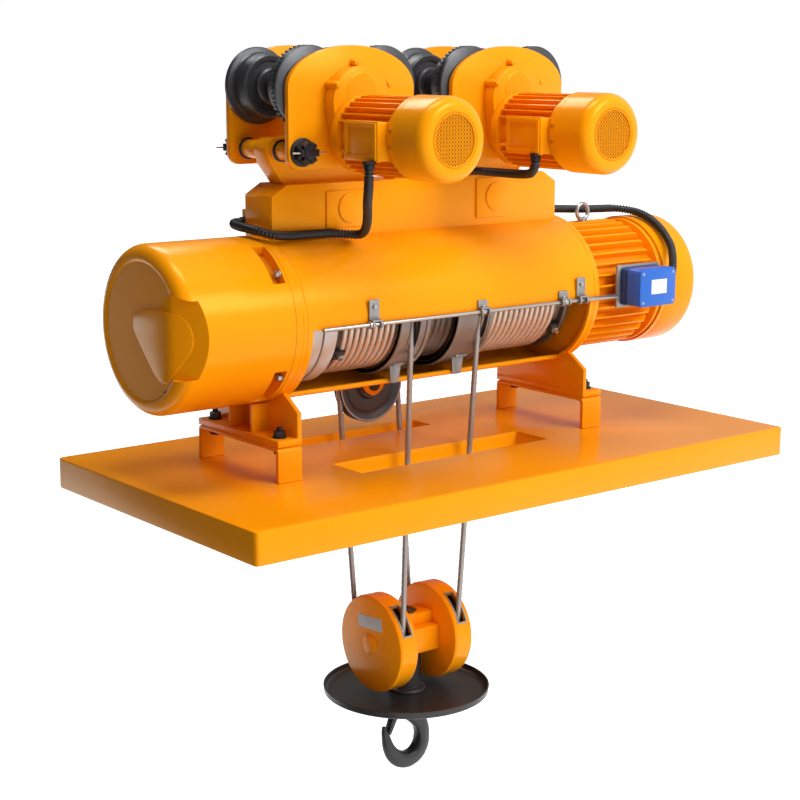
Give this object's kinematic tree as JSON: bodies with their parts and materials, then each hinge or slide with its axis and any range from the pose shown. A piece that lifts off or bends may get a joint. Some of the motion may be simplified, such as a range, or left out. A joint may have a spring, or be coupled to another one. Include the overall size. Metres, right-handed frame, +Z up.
{
  "type": "electric wire rope hoist",
  "caption": "Electric wire rope hoist on a flat base plate, with geared beam trolleys on a saddle above the drum housing and a shielded hook block hanging below on rope.",
  "frame": {"origin": "middle of the base plate's flat underside", "axes": "+Z up, +X along the drum from the gear case to the hoist motor, -Y towards the side with the drum window and the trolley motors"},
  "size_m": [1.7, 0.883, 1.8979],
  "materials": {
    "orange_paint": "gloss",
    "dark_steel": "satin",
    "bright_steel": "satin",
    "drum_steel": "satin",
    "black_rubber": "matte",
    "blue_plastic": "satin",
    "hook_steel": "satin"
  },
  "bodies": {
    "frame": {"base_plate": "orange_paint", "leg_left": "orange_paint", "leg_right": "orange_paint", "foot_left": "orange_paint", "foot_right": "orange_paint", "drum_shell": "orange_paint", "gearbox_bulkhead": "orange_paint", "gearbox_cover": "orange_paint", "motor_flange": "orange_paint", "motor_housing": "orange_paint", "motor_fan_cover": "orange_paint", "lifting_eye": "bright_steel", "limit_switch_box": "blue_plastic", "suspension_saddle": "orange_paint", "equalizer_bracket": "orange_paint", "rope_falls": "bright_steel", "left_trolley_front_plate": "orange_paint", "left_trolley_back_plate": "orange_paint", "left_trolley_tie_bolt_1": "dark_steel", "left_trolley_tie_bolt_2": "dark_steel", "left_trolley_gearmotor": "orange_paint", "left_trolley_fan_cover": "orange_paint", "right_trolley_front_plate": "orange_paint", "right_trolley_back_plate": "orange_paint", "right_trolley_tie_bolt_1": "dark_steel", "right_trolley_tie_bolt_2": "dark_steel", "right_trolley_gearmotor": "orange_paint", "right_trolley_fan_cover": "orange_paint", "conduit_left_trolley": "black_rubber", "conduit_right_trolley": "black_rubber", "conduit_motor": "black_rubber"},
    "drum": {"drum": "drum_steel", "rope_winding_left": "bright_steel", "rope_winding_right": "bright_steel"},
    "motor_rotor": {"motor_rotor": "bright_steel"},
    "intermediate_gear": {"intermediate_gear": "dark_steel"},
    "rope_guide_left": {"rope_guide_left": "drum_steel"},
    "rope_guide_right": {"rope_guide_right": "drum_steel"},
    "limit_rod": {"limit_rod": "bright_steel"},
    "equalizer_sheave": {"equalizer_sheave": "dark_steel"},
    "hook_block": {"crosshead": "orange_paint", "hook_casing_left": "orange_paint", "hook_casing_right": "orange_paint", "hook_tray": "hook_steel"},
    "hook_sheave_left": {"hook_sheave_left": "dark_steel"},
    "hook_sheave_right": {"hook_sheave_right": "dark_steel"},
    "hook": {"hook": "hook_steel"},
    "hook_latch": {"hook_latch": "hook_steel"},
    "left_trolley_geared_wheel_1": {"left_trolley_geared_wheel_1": "dark_steel"},
    "left_trolley_plain_wheel_1": {"left_trolley_plain_wheel_1": "dark_steel"},
    "left_trolley_geared_wheel_2": {"left_trolley_geared_wheel_2": "dark_steel"},
    "left_trolley_plain_wheel_2": {"left_trolley_plain_wheel_2": "dark_steel"},
    "left_trolley_rotor": {"left_trolley_rotor": "bright_steel"},
    "left_trolley_drive_pinion": {"left_trolley_drive_pinion": "dark_steel"},
    "right_trolley_geared_wheel_1": {"right_trolley_geared_wheel_1": "dark_steel"},
    "right_trolley_plain_wheel_1": {"right_trolley_plain_wheel_1": "dark_steel"},
    "right_trolley_geared_wheel_2": {"right_trolley_geared_wheel_2": "dark_steel"},
    "right_trolley_plain_wheel_2": {"right_trolley_plain_wheel_2": "dark_steel"},
    "right_trolley_rotor": {"right_trolley_rotor": "bright_steel"},
    "right_trolley_drive_pinion": {"right_trolley_drive_pinion": "dark_steel"}
  },
  "joints": [
    {"name": "drum_spin", "type": "hinge", "parent": "frame", "child": "drum", "pos_m": [0, 0.05, 0.437], "axis": [1, 0, 0], "range_deg": [-160.8, 1447.4]},
    {"name": "hook_lift", "type": "slide", "parent": "frame", "child": "hook_block", "axis": [0, 0, 1], "range_m": [-1.8, 0.2], "deforming": ["rope_falls"]},
    {"name": "motor_rotor_spin", "type": "hinge", "parent": "frame", "child": "motor_rotor", "pos_m": [0, 0.05, 0.437], "axis": [1, 0, 0], "range_deg": [-1831, 16479]},
    {"name": "intermediate_gear_spin", "type": "hinge", "parent": "frame", "child": "intermediate_gear", "pos_m": [0, 0.05, 0.537], "axis": [1, 0, 0], "range_deg": [-4119.7, 457.8]},
    {"name": "rope_guide_left_travel", "type": "slide", "parent": "frame", "child": "rope_guide_left", "axis": [1, 0, 0], "range_m": [-0.0736, 0.0082]},
    {"name": "rope_guide_right_travel", "type": "slide", "parent": "frame", "child": "rope_guide_right", "axis": [1, 0, 0], "range_m": [-0.0082, 0.0736]},
    {"name": "hook_sheave_left_spin", "type": "hinge", "parent": "hook_block", "child": "hook_sheave_left", "pos_m": [-0.137, 0.06, -0.451], "axis": [1, 0, 0], "range_deg": [-119.4, 1074.3]},
    {"name": "hook_sheave_right_spin", "type": "hinge", "parent": "hook_block", "child": "hook_sheave_right", "pos_m": [0.045, 0.06, -0.451], "axis": [1, 0, 0], "range_deg": [-119.4, 1074.3]},
    {"name": "limit_rod_travel", "type": "slide", "parent": "frame", "child": "limit_rod", "axis": [1, 0, 0], "range_m": [-0.012, 0.012], "stiffness_N_per_m": 400},
    {"name": "equalizer_sheave_spin", "type": "hinge", "parent": "frame", "child": "equalizer_sheave", "pos_m": [-0.05, 0.22, 0.203], "axis": [0, 1, 0], "continuous": true},
    {"name": "hook_swivel", "type": "hinge", "parent": "hook_block", "child": "hook", "pos_m": [-0.046, 0.06, -0.46], "axis": [0, 0, 1], "continuous": true},
    {"name": "hook_latch_pivot", "type": "hinge", "parent": "hook", "child": "hook_latch", "pos_m": [-0.0765, 0.06, -0.654], "axis": [0, 1, 0], "range_deg": [-32, 0], "stiffness_Nm_per_rad": 0.4, "springref_deg": 14.32},
    {"name": "left_trolley_geared_wheel_1_spin", "type": "hinge", "parent": "frame", "child": "left_trolley_geared_wheel_1", "pos_m": [-0.432, -0.025, 0.978], "axis": [0, 1, 0], "continuous": true},
    {"name": "left_trolley_geared_wheel_2_spin", "type": "hinge", "parent": "frame", "child": "left_trolley_geared_wheel_2", "pos_m": [-0.218, -0.025, 0.978], "axis": [0, 1, 0], "continuous": true},
    {"name": "left_trolley_drive_pinion_spin", "type": "hinge", "parent": "frame", "child": "left_trolley_drive_pinion", "pos_m": [-0.325, -0.045, 0.9188], "axis": [0, 1, 0], "continuous": true},
    {"name": "left_trolley_rotor_spin", "type": "hinge", "parent": "frame", "child": "left_trolley_rotor", "pos_m": [-0.325, -0.2, 0.87], "axis": [0, 1, 0], "continuous": true},
    {"name": "left_trolley_plain_wheel_1_spin", "type": "hinge", "parent": "frame", "child": "left_trolley_plain_wheel_1", "pos_m": [-0.432, 0.125, 0.978], "axis": [0, 1, 0], "continuous": true},
    {"name": "left_trolley_plain_wheel_2_spin", "type": "hinge", "parent": "frame", "child": "left_trolley_plain_wheel_2", "pos_m": [-0.218, 0.125, 0.978], "axis": [0, 1, 0], "continuous": true},
    {"name": "right_trolley_geared_wheel_1_spin", "type": "hinge", "parent": "frame", "child": "right_trolley_geared_wheel_1", "pos_m": [0.055, -0.025, 0.978], "axis": [0, 1, 0], "continuous": true},
    {"name": "right_trolley_geared_wheel_2_spin", "type": "hinge", "parent": "frame", "child": "right_trolley_geared_wheel_2", "pos_m": [0.269, -0.025, 0.978], "axis": [0, 1, 0], "continuous": true},
    {"name": "right_trolley_drive_pinion_spin", "type": "hinge", "parent": "frame", "child": "right_trolley_drive_pinion", "pos_m": [0.162, -0.045, 0.9188], "axis": [0, 1, 0], "continuous": true},
    {"name": "right_trolley_rotor_spin", "type": "hinge", "parent": "frame", "child": "right_trolley_rotor", "pos_m": [0.162, -0.2, 0.87], "axis": [0, 1, 0], "continuous": true},
    {"name": "right_trolley_plain_wheel_1_spin", "type": "hinge", "parent": "frame", "child": "right_trolley_plain_wheel_1", "pos_m": [0.055, 0.125, 0.978], "axis": [0, 1, 0], "continuous": true},
    {"name": "right_trolley_plain_wheel_2_spin", "type": "hinge", "parent": "frame", "child": "right_trolley_plain_wheel_2", "pos_m": [0.269, 0.125, 0.978], "axis": [0, 1, 0], "continuous": true}
  ],
  "couplings": [
    {"joint": "hook_lift", "follows": "drum_spin", "m_per_rad": -0.07125},
    {"joint": "motor_rotor_spin", "follows": "drum_spin", "ratio": 11.385},
    {"joint": "intermediate_gear_spin", "follows": "drum_spin", "ratio": -2.8462},
    {"joint": "rope_guide_left_travel", "follows": "drum_spin", "m_per_rad": -0.0029125},
    {"joint": "rope_guide_right_travel", "follows": "drum_spin", "m_per_rad": 0.0029125},
    {"joint": "hook_sheave_left_spin", "follows": "drum_spin", "ratio": 0.74219},
    {"joint": "hook_sheave_right_spin", "follows": "drum_spin", "ratio": 0.74219},
    {"joint": "left_trolley_geared_wheel_2_spin", "follows": "left_trolley_geared_wheel_1_spin", "ratio": 1},
    {"joint": "left_trolley_drive_pinion_spin", "follows": "left_trolley_geared_wheel_1_spin", "ratio": -3.6923},
    {"joint": "left_trolley_rotor_spin", "follows": "left_trolley_geared_wheel_1_spin", "ratio": 11.231},
    {"joint": "right_trolley_geared_wheel_2_spin", "follows": "right_trolley_geared_wheel_1_spin", "ratio": 1},
    {"joint": "right_trolley_drive_pinion_spin", "follows": "right_trolley_geared_wheel_1_spin", "ratio": -3.6923},
    {"joint": "right_trolley_rotor_spin", "follows": "right_trolley_geared_wheel_1_spin", "ratio": 11.231}
  ]
}
